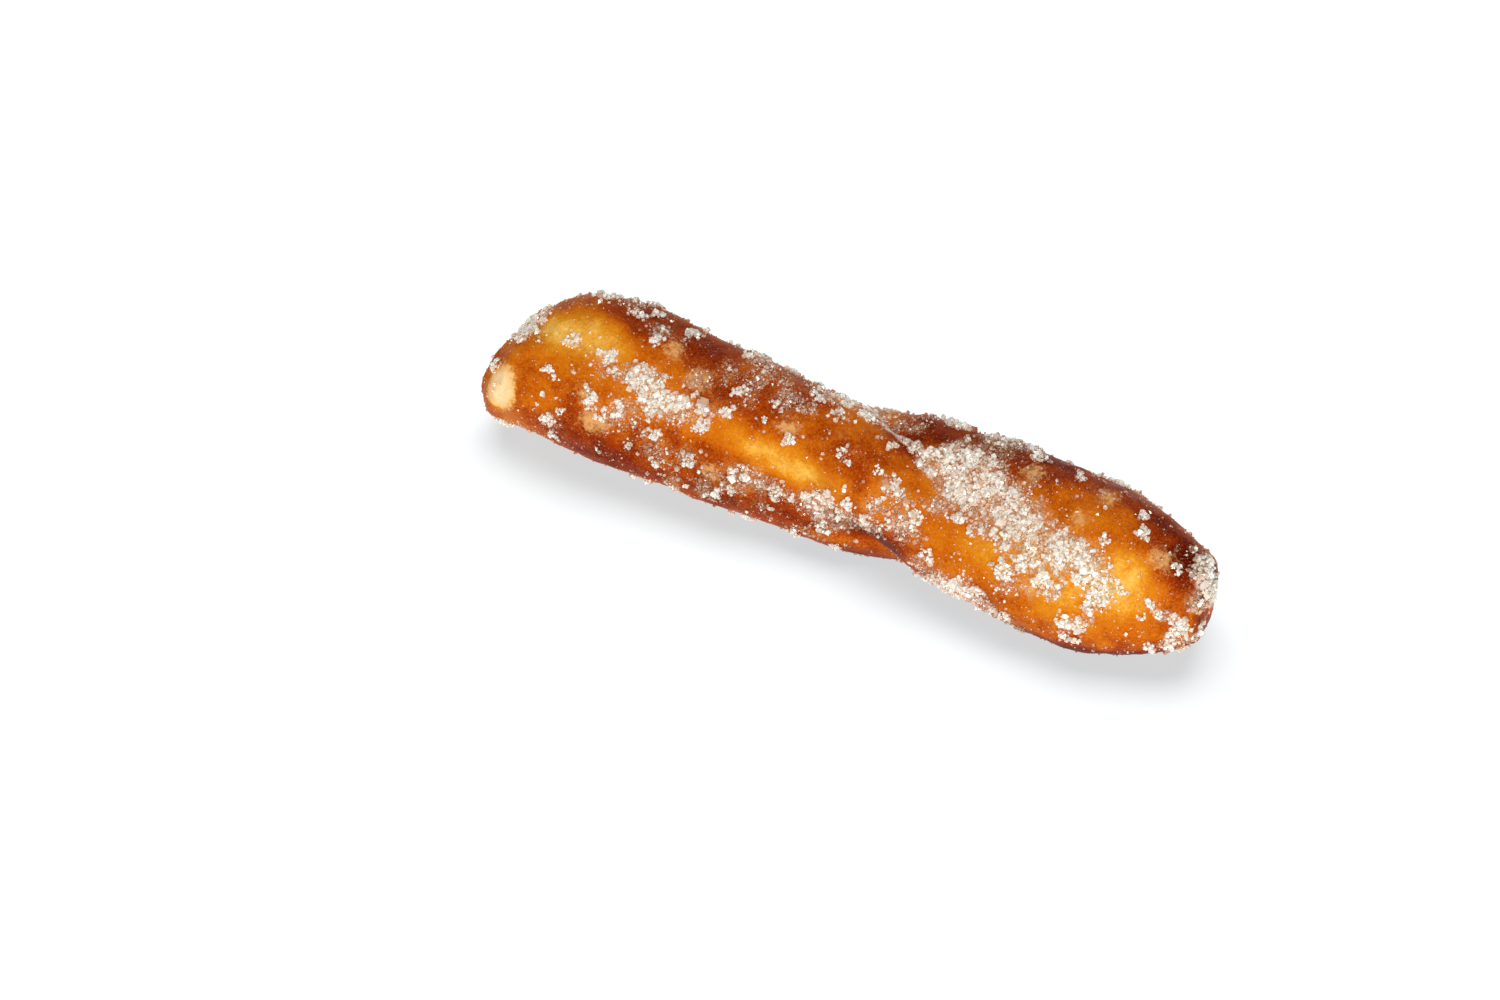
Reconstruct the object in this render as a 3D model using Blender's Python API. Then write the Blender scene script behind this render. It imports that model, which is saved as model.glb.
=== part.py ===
"""A sugared soft pretzel stick: a short, twisted bar of dough that lies on a flat surface.

The stick lies along X and rests on Z = 0. It is one solid. Its body is a sphere whose points are
moved onto a three-strand twist, and its larger sugar clumps are fused on. Lengths in the formulas
are millimetres, and angles are degrees about the stick, from +Y towards +Z.
"""
import math

import bmesh
import bpy
import numpy as np
from mathutils import Vector

NAME = "pretzel_stick"
MM = 0.001

# Grid of the body
RINGS = 60
SIDES = 40
CAP_SHARE = 0.07          # part of the rings that closes each end
RING_CROWDING = 0.4       # how much the other rings crowd towards the ends

# Strands: three circles, a third of a turn apart, make the section
STRAND_OFFSET = 4.8
STRAND_RADIUS = 8.1
STRANDS = (60, 180, 300)  # degrees from the first groove
CREASE_SHARPNESS = 0.9    # higher is a sharper crease between two strands

# The first groove's angle: a steady twist, and a quick turn at the waist
TWIST_MIDDLE = 160.0
TWIST_PER_HALF = 59.0
TWIST_HALF_LENGTH = 63.5
WAIST_TURN = 62.5
WAIST_AT = 5.8
WAIST_HALF_LENGTH = 14.0
VALLEY_FILL = 0.9         # dough that stretched flat in the grooves, away from the waist

# Thickness along the stick
GIRTH_AT = (-60, -42, -26, -10, 0, 14, 28, 42, 60)
GIRTH = (1.03, 1.105, 1.035, 0.97, 0.985, 0.99, 1.07, 1.11, 1.0)

# The centre line's small wander, sideways and up
BEND_AT = (-60, -30, -5, 20, 45, 62)
BEND_SIDE = (-0.4, 0.4, 0.4, 0.7, -0.2, 0.5)
BEND_RISE = (0.3, 0.1, -0.2, 0.2, -0.1, 1.2)

# Left end: blunt on the strand that reaches furthest, sloping on the other side
LEFT_RIM = -64.7
LEFT_BLUNT_ANGLE = 228.0
LEFT_SLOPE = 5.1          # how far the sloping side stands back
LEFT_SLOPE_FADE = 30.0
LEFT_ROUNDING = (4.5, 14.6)    # length of the taper on the blunt side, and opposite
LEFT_RIM_SHARE = (0.79, 0.58)  # rim radius over body radius, likewise
LEFT_DOME = 1.6
NOTCH_DEPTH = 2.4
NOTCH_WIDTH = 17.0
NOTCH_LENGTH = 9.0

# Right end: a long taper to a cut face that leans back
RIGHT_RIM = 61.7
RIGHT_LONG_ANGLE = 217.0
RIGHT_SLOPE = 1.9
RIGHT_SLOPE_FADE = 25.0
RIGHT_ROUNDING = 24.8
RIGHT_RIM_SHARE = 0.58
RIGHT_DOME = 1.4
DOME_POWER = 0.75         # under 1 flattens the dome and tightens its edge

# The torn tip on the left: a plane that trims the strand's end
TEAR_POINT = (-62.0, -8.6, 6.0)
TEAR_NORMAL = (-0.62, -0.60, 0.51)

# Where the dough settled flat, and where the finished stick's box has its middle
FLOOR = -12.35
BOX_MIDDLE = (-1.20, -0.27)

# Sugar clumps
CLUMPS = 145
CLUMP_RADIUS = (2.3, 0.95)     # the first and the last that are placed
CLUMP_SHRINK = 0.6             # under 1 makes most of them small
CLUMP_STRETCH = (0.75, 1.2)
CLUMP_FLATNESS = 0.55
CLUMP_SINK = 0.18
CLUMP_ROUGHNESS = 0.28
CLUMP_SPACING = 0.8
CLUMP_CLEAR_OF_FLOOR = 3.2
CLUMP_SPAN = (0.085, 0.94)     # the share of the stick that they lie on
CLUMP_SEED = 11
PLAIN_SUGAR = 0.10             # chance of sugar outside every patch
MIDDLE_RADIUS = 12.5
SURFACE_STEP = 0.002           # of the stick and of a turn, to find which way is out

# Sugared patches: place along the stick, angle, half length, half width, amount
SUGAR_PATCHES = (
    (-35.5, 119, 6.0, 3.4, 1.0),
    (-36.5, 140, 4.0, 2.4, 0.7),
    (-30.0, 131, 3.5, 2.8, 0.9),
    (-23.5, 128, 3.2, 2.8, 0.8),
    (-49.0, 172, 2.6, 1.8, 0.6),
    (-24.5, 180, 6.5, 3.4, 0.6),
    (-15.0, 180, 6.0, 5.0, 0.6),
    (-2.5, 178, 6.5, 5.0, 0.8),
    (-45.5, 62, 4.5, 2.4, 0.6),
    (-33.0, 73, 1.6, 2.8, 0.9),
    (-27.5, 108, 2.6, 2.3, 0.6),
    (-15.0, 86, 6.0, 3.4, 0.5),
    (-61.0, 82, 2.0, 4.0, 0.8),
    (14.0, 64, 10.0, 5.0, 1.0),
    (17.0, 98, 7.5, 5.0, 1.0),
    (24.5, 110, 6.0, 5.5, 1.0),
    (33.0, 122, 7.5, 4.0, 0.8),
    (43.0, 130, 7.5, 4.5, 1.0),
    (35.0, 158, 9.0, 4.0, 0.5),
    (14.0, 155, 7.0, 6.5, 0.4),
    (45.0, 80, 6.0, 2.4, 0.5),
    (59.5, 200, 4.0, 5.0, 0.8),
    (59.0, 100, 4.0, 5.0, 0.9),
    (16.0, 215, 14.0, 4.0, 0.5),
    (-48.0, 318, 6.0, 6.0, 0.6),
    (-28.0, 345, 8.0, 5.0, 0.7),
    (-6.0, 20, 9.0, 6.0, 0.8),
    (18.0, 345, 8.0, 6.0, 0.6),
    (38.0, 20, 9.0, 5.0, 0.8),
    (54.0, 330, 5.0, 6.0, 0.5),
)


def smooth_curve(x, stations, values):
    """Read a smooth curve that passes through a few values along the stick."""
    at = np.asarray(stations, float)
    value = np.asarray(values, float)
    slope = np.gradient(value, at)
    i = np.clip(np.searchsorted(at, x) - 1, 0, len(at) - 2)
    span = at[i + 1] - at[i]
    t = np.clip((x - at[i]) / span, 0, 1)
    start = (1 + 2 * t) * (1 - t) ** 2 * value[i] + t * (1 - t) ** 2 * span * slope[i]
    end = t * t * (3 - 2 * t) * value[i + 1] - t * t * (1 - t) * span * slope[i + 1]
    return start + end


def ease(t):
    """Rise smoothly from 0 to 1."""
    t = np.clip(t, 0, 1)
    return t * t * (3 - 2 * t)


def groove_angle(x):
    """Give the first groove's angle about the stick."""
    waist = ease((x - WAIST_AT + WAIST_HALF_LENGTH) / (2 * WAIST_HALF_LENGTH))
    start = TWIST_MIDDLE - TWIST_PER_HALF
    return start + TWIST_PER_HALF * (x + TWIST_HALF_LENGTH) / TWIST_HALF_LENGTH + WAIST_TURN * waist


def strand_section(beta, x):
    """Give the radius of three overlapping strands, at an angle from the first groove."""
    total = 0
    for strand in STRANDS:
        turn = np.radians(beta - strand)
        side = STRAND_OFFSET * np.sin(turn)
        radius = STRAND_OFFSET * np.cos(turn) + np.sqrt(STRAND_RADIUS ** 2 - side ** 2)
        total = total + np.exp(CREASE_SHARPNESS * radius)
    away = ease((np.abs(x - WAIST_AT) - WAIST_HALF_LENGTH) / WAIST_HALF_LENGTH)
    valley = ((1 + np.cos(np.radians(3 * beta))) / 2) ** 2
    return np.log(total) / CREASE_SHARPNESS + VALLEY_FILL * away * valley


def one_sided(angle, near):
    """Rise from 0 at one angle about the stick to 1 opposite."""
    return (1 - np.cos(np.radians(angle - near))) / 2


def taper(reach, length, rim_share):
    """Give a quarter ellipse's radius at a distance inside the rim that ends it."""
    furthest = np.sqrt(1 - rim_share ** 2)
    along = np.clip(furthest - reach / length, 0, furthest)
    return np.sqrt(1 - along ** 2)


def stick_points(share, turn):
    """Place points of the body. share runs from the left pole, 0, to the right pole, 1, and turn
    is the angle from the first groove."""
    left_cap = np.clip(share / CAP_SHARE, 0, 1)
    right_cap = np.clip((1 - share) / CAP_SHARE, 0, 1)
    along = np.clip((share - CAP_SHARE) / (1 - 2 * CAP_SHARE), 0, 1)
    along = (1 - RING_CROWDING) * along + RING_CROWDING * ease(along)
    cap = left_cap * right_cap
    inward = np.sin(cap * math.pi / 2) ** DOME_POWER
    outward = np.maximum(np.cos(cap * math.pi / 2), 0) ** DOME_POWER

    x = LEFT_RIM + (RIGHT_RIM - LEFT_RIM) * along
    angle = turn + groove_angle(x)
    radius = smooth_curve(x, GIRTH_AT, GIRTH) * strand_section(turn, x)
    off_groove = (turn + 180) % 360 - 180
    notch = NOTCH_DEPTH * np.exp(-(off_groove / NOTCH_WIDTH) ** 2)
    radius = radius - notch * np.clip(1 - (x - LEFT_RIM) / NOTCH_LENGTH, 0, 1)

    sloping = one_sided(angle, LEFT_BLUNT_ANGLE)
    rounding = LEFT_ROUNDING[0] + (LEFT_ROUNDING[1] - LEFT_ROUNDING[0]) * sloping
    rim_share = LEFT_RIM_SHARE[0] + (LEFT_RIM_SHARE[1] - LEFT_RIM_SHARE[0]) * sloping
    radius = radius * taper(x - LEFT_RIM, rounding, rim_share)
    radius = radius * taper(RIGHT_RIM - x, RIGHT_ROUNDING, RIGHT_RIM_SHARE) * inward

    left_fade = np.clip(1 - (x - LEFT_RIM) / LEFT_SLOPE_FADE, 0, 1) ** 2
    right_fade = np.clip(1 - (RIGHT_RIM - x) / RIGHT_SLOPE_FADE, 0, 1) ** 2
    leaning = one_sided(angle, RIGHT_LONG_ANGLE)
    place = x + LEFT_SLOPE * (0.5 + (sloping - 0.5) * inward) * left_fade
    place = place - RIGHT_SLOPE * (0.5 + (leaning - 0.5) * inward) * right_fade
    place = place + np.where(share < 0.5, -LEFT_DOME, RIGHT_DOME) * outward

    side = radius * np.cos(np.radians(angle)) + smooth_curve(x, BEND_AT, BEND_SIDE)
    rise = radius * np.sin(np.radians(angle)) + smooth_curve(x, BEND_AT, BEND_RISE)
    points = np.stack([place, side, rise], axis=-1)

    tear = np.asarray(TEAR_NORMAL) / np.linalg.norm(TEAR_NORMAL)
    proud = np.maximum((points - np.asarray(TEAR_POINT)) @ tear, 0)
    points = points - proud[..., None] * tear
    points[..., 2] = np.maximum(points[..., 2], FLOOR) - FLOOR
    points[..., :2] -= BOX_MIDDLE
    return points


def sugar_amount(x, angle):
    """Give how thickly sugar lies at a place on the stick, from 0 to 1."""
    amount = PLAIN_SUGAR
    for at, facing, half_length, half_width, most in SUGAR_PATCHES:
        around = (angle - facing + 180) % 360 - 180
        across = math.radians(around) * MIDDLE_RADIUS / half_width
        nearness = ((x - at) / half_length) ** 2 + across ** 2
        amount = max(amount, most * math.exp(-nearness ** 2))
    return amount


def remove_everything():
    """Empty the file that the script runs in."""
    for old in list(bpy.data.objects):
        bpy.data.objects.remove(old, do_unlink=True)


def crust_material():
    """Make the baked crust's colour and gloss."""
    material = bpy.data.materials.new("crust")
    material.use_nodes = True
    shader = material.node_tree.nodes["Principled BSDF"]
    shader.inputs["Base Color"].default_value = (0.50, 0.17, 0.03, 1)
    shader.inputs["Roughness"].default_value = 0.4
    shader.inputs["Metallic"].default_value = 0.0
    return material


def add_object(name, mesh_builder, collection):
    """Turn a bmesh into an object."""
    mesh = bpy.data.meshes.new(name)
    bmesh.ops.recalc_face_normals(mesh_builder, faces=mesh_builder.faces)
    mesh_builder.to_mesh(mesh)
    mesh_builder.free()
    made = bpy.data.objects.new(name, mesh)
    collection.objects.link(made)
    return made


def make_body(collection):
    """Move a sphere's points onto the twisted stick."""
    body = bmesh.new()
    bmesh.ops.create_uvsphere(body, u_segments=SIDES, v_segments=RINGS, radius=1)
    for vert in body.verts:
        share = math.acos(max(-1, min(1, vert.co.z))) / math.pi
        turn = math.degrees(math.atan2(vert.co.y, vert.co.x)) % 360
        vert.co = Vector(stick_points(np.float64(share), np.float64(turn)) * MM)
    bmesh.ops.triangulate(body, faces=body.faces)
    return add_object(NAME, body, collection)


def surface_frame(share, turn):
    """Give a point of the body and the directions along it, around it and out of it."""
    point = Vector(stick_points(np.float64(share), np.float64(turn)))
    along = Vector(stick_points(np.float64(share + SURFACE_STEP), np.float64(turn))) - point
    around = Vector(stick_points(np.float64(share), np.float64(turn + 360 * SURFACE_STEP))) - point
    out = along.cross(around).normalized()
    middle = Vector((point.x, 0, -FLOOR))
    if out.dot(point - middle) < 0:
        out.negate()
    along.normalize()
    return point, along, out.cross(along), out


def place_clumps(random):
    """Choose where the clumps go, the largest first, by how thickly sugar lies."""
    chosen = []
    while len(chosen) < CLUMPS:
        share, turn = random.uniform(*CLUMP_SPAN), random.uniform(0, 360)
        point, along, around, out = surface_frame(share, turn)
        facing = math.degrees(math.atan2(point.z + FLOOR, point.y + BOX_MIDDLE[1]))
        if random.random() > sugar_amount(point.x + BOX_MIDDLE[0], facing):
            continue
        progress = len(chosen) / CLUMPS
        radius = CLUMP_RADIUS[0] + (CLUMP_RADIUS[1] - CLUMP_RADIUS[0]) * progress ** CLUMP_SHRINK
        crowded = any((point - other[0]).length < CLUMP_SPACING * (radius + other[4]) for other in chosen)
        if crowded or point.z < CLUMP_CLEAR_OF_FLOOR:
            continue
        chosen.append((point, along, around, out, radius))
    return chosen


def make_clump(place, number, random, collection):
    """Make one lumpy, flat clump, partly sunk in the crust."""
    point, along, around, out, radius = place
    clump = bmesh.new()
    bmesh.ops.create_icosphere(clump, subdivisions=1, radius=1)
    spin = random.uniform(0, 2 * math.pi)
    stretch = random.uniform(*CLUMP_STRETCH)
    for vert in clump.verts:
        lump = radius * (1 + random.uniform(-CLUMP_ROUGHNESS, CLUMP_ROUGHNESS))
        first = vert.co.x * stretch
        second = vert.co.y / stretch
        u = first * math.cos(spin) - second * math.sin(spin)
        v = first * math.sin(spin) + second * math.cos(spin)
        height = vert.co.z * CLUMP_FLATNESS - CLUMP_SINK
        vert.co = (point + (along * u + around * v + out * height) * lump) * MM
    return add_object(f"clump_{number}", clump, collection)


def fuse(body, collection):
    """Join the clumps to the body in one Boolean, apply it and drop the loose objects."""
    joint = body.modifiers.new("fuse sugar", "BOOLEAN")
    joint.operation = "UNION"
    joint.solver = "EXACT"
    joint.operand_type = "COLLECTION"
    joint.collection = collection
    bpy.context.view_layer.update()
    seen = body.evaluated_get(bpy.context.evaluated_depsgraph_get())
    fused = bpy.data.meshes.new_from_object(seen)
    body.modifiers.remove(joint)
    body.data = fused
    for clump in list(collection.objects):
        bpy.data.objects.remove(clump, do_unlink=True)
    bpy.data.collections.remove(collection)


def keep_largest_shell(body):
    """Drop loose scraps and merge points that the Boolean left together."""
    shape = bmesh.new()
    shape.from_mesh(body.data)
    bmesh.ops.remove_doubles(shape, verts=shape.verts, dist=0.01 * MM)
    bmesh.ops.triangulate(shape, faces=shape.faces)
    unseen = set(shape.verts)
    shells = []
    while unseen:
        shell = {unseen.pop()}
        edge_of_search = list(shell)
        while edge_of_search:
            vert = edge_of_search.pop()
            for edge in vert.link_edges:
                other = edge.other_vert(vert)
                if other in unseen:
                    unseen.discard(other)
                    shell.add(other)
                    edge_of_search.append(other)
        shells.append(shell)
    shells.sort(key=len)
    for shell in shells[:-1]:
        bmesh.ops.delete(shape, geom=list(shell), context="VERTS")
    shape.to_mesh(body.data)
    shape.free()


def main():
    remove_everything()
    parts = bpy.data.collections.new("soft_pretzel_stick")
    toppings = bpy.data.collections.new("toppings")
    for collection in (parts, toppings):
        bpy.context.scene.collection.children.link(collection)
    body = make_body(parts)
    random = np.random.default_rng(CLUMP_SEED)
    for number, place in enumerate(place_clumps(random)):
        make_clump(place, number, random, toppings)
    fuse(body, toppings)
    keep_largest_shell(body)
    body.data.materials.clear()
    body.data.materials.append(crust_material())


main()
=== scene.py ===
"""Looks of the sugared soft pretzel stick: its baked crust and torn dough, its sugar, and the studio.

The stick lies along X on Z = 0. Its surface is worked out by the solid's own formulas, with finer
relief on top, and sugar grains lie on that surface. Lengths in the formulas are millimetres, and
angles are degrees about the stick, from +Y towards +Z.
"""
import itertools
import math

import bpy
import numpy as np
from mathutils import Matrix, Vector


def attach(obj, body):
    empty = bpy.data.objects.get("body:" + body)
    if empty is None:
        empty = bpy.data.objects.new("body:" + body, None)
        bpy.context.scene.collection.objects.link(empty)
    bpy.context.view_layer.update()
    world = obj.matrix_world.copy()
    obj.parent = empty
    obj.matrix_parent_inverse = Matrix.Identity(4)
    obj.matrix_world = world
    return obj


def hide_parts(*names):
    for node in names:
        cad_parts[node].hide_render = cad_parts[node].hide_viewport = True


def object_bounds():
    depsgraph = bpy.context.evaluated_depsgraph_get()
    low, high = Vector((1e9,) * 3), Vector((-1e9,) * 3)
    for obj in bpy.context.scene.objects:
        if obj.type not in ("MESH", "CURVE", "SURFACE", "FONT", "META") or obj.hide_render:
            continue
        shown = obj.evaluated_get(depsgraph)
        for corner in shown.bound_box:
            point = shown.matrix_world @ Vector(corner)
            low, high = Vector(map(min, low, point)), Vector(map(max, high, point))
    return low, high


MM = 0.001
NODE = "pretzel_stick"

# ---------------------------------------------------------------- the solid's own sizes, from part.py
CAP_SHARE = 0.07
RING_CROWDING = 0.4
STRAND_OFFSET = 4.8
STRAND_RADIUS = 8.1
STRANDS = (60, 180, 300)
CREASE_SHARPNESS = 0.9
TWIST_MIDDLE = 160.0
TWIST_PER_HALF = 59.0
TWIST_HALF_LENGTH = 63.5
WAIST_TURN = 62.5
WAIST_AT = 5.8
WAIST_HALF_LENGTH = 14.0
VALLEY_FILL = 0.9
GIRTH_AT = (-60, -42, -26, -10, 0, 14, 28, 42, 60)
GIRTH = (1.03, 1.105, 1.035, 0.97, 0.985, 0.99, 1.07, 1.11, 1.0)
BEND_AT = (-60, -30, -5, 20, 45, 62)
BEND_SIDE = (-0.4, 0.4, 0.4, 0.7, -0.2, 0.5)
BEND_RISE = (0.3, 0.1, -0.2, 0.2, -0.1, 1.2)
LEFT_RIM = -64.7
LEFT_BLUNT_ANGLE = 228.0
LEFT_SLOPE = 5.1
LEFT_SLOPE_FADE = 30.0
LEFT_ROUNDING = (4.5, 14.6)
LEFT_RIM_SHARE = (0.79, 0.58)
LEFT_DOME = 1.6
NOTCH_DEPTH = 2.4
NOTCH_WIDTH = 17.0
NOTCH_LENGTH = 9.0
RIGHT_RIM = 61.7
RIGHT_LONG_ANGLE = 217.0
RIGHT_SLOPE = 1.9
RIGHT_SLOPE_FADE = 25.0
RIGHT_ROUNDING = 24.8
RIGHT_RIM_SHARE = 0.58
RIGHT_DOME = 1.4
DOME_POWER = 0.75
TEAR_POINT = (-62.0, -8.6, 6.0)
TEAR_NORMAL = (-0.62, -0.60, 0.51)
FLOOR = -12.35
BOX_MIDDLE = (-1.20, -0.27)
MIDDLE_RADIUS = 12.5

# ---------------------------------------------------------------- the finer surface
RINGS = 380
SIDES = 256
LUMPS = ((9.0, 0.45, 21), (3.4, 0.22, 22), (1.3, 0.08, 23))  # size, height, seed
CREASE_LINES = 0.10        # height of the fine lines that run along the strands
CREASE_LINE_LENGTH = 9.0
CREASE_LINE_WIDTH = 4.5    # in degrees
CREASE_LINE_SEED = 31
CREASE_CUT = 0.45          # how much sharper and deeper the creases are at the waist
CREASE_WIDTH = 6.0         # in degrees
RESTING_BAND = 0.4         # nothing stands out below this height, so that the stick lies flat
# Blisters: place, angle, radius, height
BLISTERS = (
    (55.2, 110, 2.3, 0.35), (43.4, 84, 2.0, 0.35), (30.7, 84, 2.2, 0.3), (-9.6, 115, 2.2, 0.4),
    (-26.8, 105, 2.6, 0.35), (-41.7, 160, 2.4, 0.3), (-36.0, 20, 2.4, 0.4), (-12.0, 350, 2.0, 0.35),
    (8.0, 30, 2.4, 0.4), (33.0, 340, 2.6, 0.4), (50.0, 20, 2.0, 0.35), (-52.0, 300, 2.2, 0.35),
    (-43.6, 145, 1.8, 0.25), (-39.3, 161, 1.8, 0.25), (-33.1, 91, 2.0, 0.3), (-20.3, 172, 1.8, 0.25),
    (41.2, 108, 1.8, 0.25), (37.1, 166, 1.6, 0.25), (20.0, 300, 2.0, 0.3), (-24.0, 220, 2.2, 0.3),
)

TEAR_DOME = 0.2            # share of the torn-off end's bulge that is left
BED_HEIGHT = 0.22          # of packed sugar under the grains
BED_STEEPNESS = 1.8        # how fast it rises into a heap
BED_LEAST_SUGAR = 0.3
RIM_SHARE = 0.97           # round the right end's face the crust is browner
RIM_WIDTH = 0.025
RIM_BAKE = 0.25

BLISTER_FULLNESS = 0.8     # share of its height that a blister has on average
BLISTER_CRUMB = 0.9        # how uneven a blister is
BLISTER_CRUMB_SIZE = 0.8
BLISTER_CRUMB_SEED = 32
BLISTER_SUGAR = 0.35       # how much sugar is on it

# Baking: how brown the crust is, and patches that are paler (below 0) or darker. Some darker patches are
# painted shade, on the top limb and on the underside in front, and one paler patch is partly painted light.
# Every patch is its place along the stick, its angle, half its length, half its width and its strength.
BAKE_MIDDLE = 0.57
BAKE_CREST = 0.08
BAKE_MOTTLE = ((11.0, 0.07, 51), (3.0, 0.07, 52))  # size, strength, seed
BAKE_AND_SHADE_PATCHES = (
    (-56.0, 92, 6.0, 6.0, 0.05),
    # Partly painted light: the upper-left groove is pale gold crust, made paler still where it lies in shade
    (-49.0, 104, 9.0, 4.2, -0.33),
    (-54.0, 145, 7.0, 8.0, -0.06),
    (-60.0, 163, 3.0, 4.0, -0.35),
    # Partly painted shade: the top limb is browner crust, darkened more where it turns away from the light
    (-36.0, 76, 11.0, 4.5, 0.14),
    (-12.0, 90, 11.0, 6.0, -0.02),
    (-21.0, 117, 10.0, 6.0, 0.11),
    (-26.0, 98, 5.0, 5.0, 0.08),
    (-20.0, 137, 9.0, 3.4, -0.20),
    (-9.0, 144, 7.0, 3.4, -0.21),
    (-3.0, 148, 6.0, 2.8, -0.14),
    (-24.0, 156, 11.0, 4.0, 0.12),
    (-40.0, 185, 12.0, 5.0, 0.20),
    # Painted shadow: the underside in front is darkened as if shaded
    (-10.0, 186, 14.0, 4.5, 0.20),
    # Partly painted shade: the top limb is browner crust, darkened more where it turns away from the light
    (9.0, 70, 6.5, 5.0, 0.30),
    (8.0, 103, 6.0, 3.0, 0.12),
    (10.0, 145, 7.0, 5.0, -0.12),
    # Painted shadow: the lower strand under the waist is darkened as if shaded
    (8.0, 190, 6.5, 4.0, 0.38),
    # Partly painted shade: the top limb is browner crust, darkened more where it turns away from the light
    (31.0, 72, 7.0, 4.5, 0.16),
    # Partly painted shade: the top limb is browner crust, darkened more where it turns away from the light
    (47.0, 72, 9.0, 4.0, 0.14),
    (43.0, 92, 5.0, 4.0, -0.06),
    (48.0, 110, 8.0, 4.0, -0.04),
    (58.0, 132, 4.0, 9.0, 0.14),
    (59.0, 84, 3.5, 8.0, 0.15),
    (54.0, 90, 4.5, 4.5, 0.14),
    # Partly painted shade: the top limb is browner crust, darkened more where it turns away from the light
    (20.0, 72, 6.0, 3.5, 0.14),
    (51.0, 142, 6.5, 5.0, -0.28),
    (43.0, 165, 7.0, 4.0, -0.12),
    (35.0, 148, 9.0, 4.5, -0.14),
    (24.0, 165, 8.0, 4.5, -0.14),
    (33.0, 193, 9.0, 5.0, -0.06),
    (51.0, 188, 5.0, 5.0, -0.05),
    # Painted shade: a dark strip along the lower edge towards the right end
    (46.0, 214, 16.0, 2.4, 0.28),
    (13.0, 232, 16.0, 6.0, 0.16),
    (-40.0, 330, 12.0, 4.0, -0.25),
    (-14.0, 10, 10.0, 4.0, -0.20),
    (30.0, 5, 14.0, 4.0, -0.30),
    (50.0, 330, 8.0, 5.0, 0.12),
)
DOUGH_SPOTS = (            # middle and reach of each place where pale dough shows
    ((-57.9, -12.4, 16.3), (3.6, 3.6, 4.8)),
    ((63.3, -2.6, 16.2), (2.6, 2.6, 2.3)),
)
DOUGH_CORE = 0.35          # share of the reach that is wholly dough
DOUGH_FADE = 1.0

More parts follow.
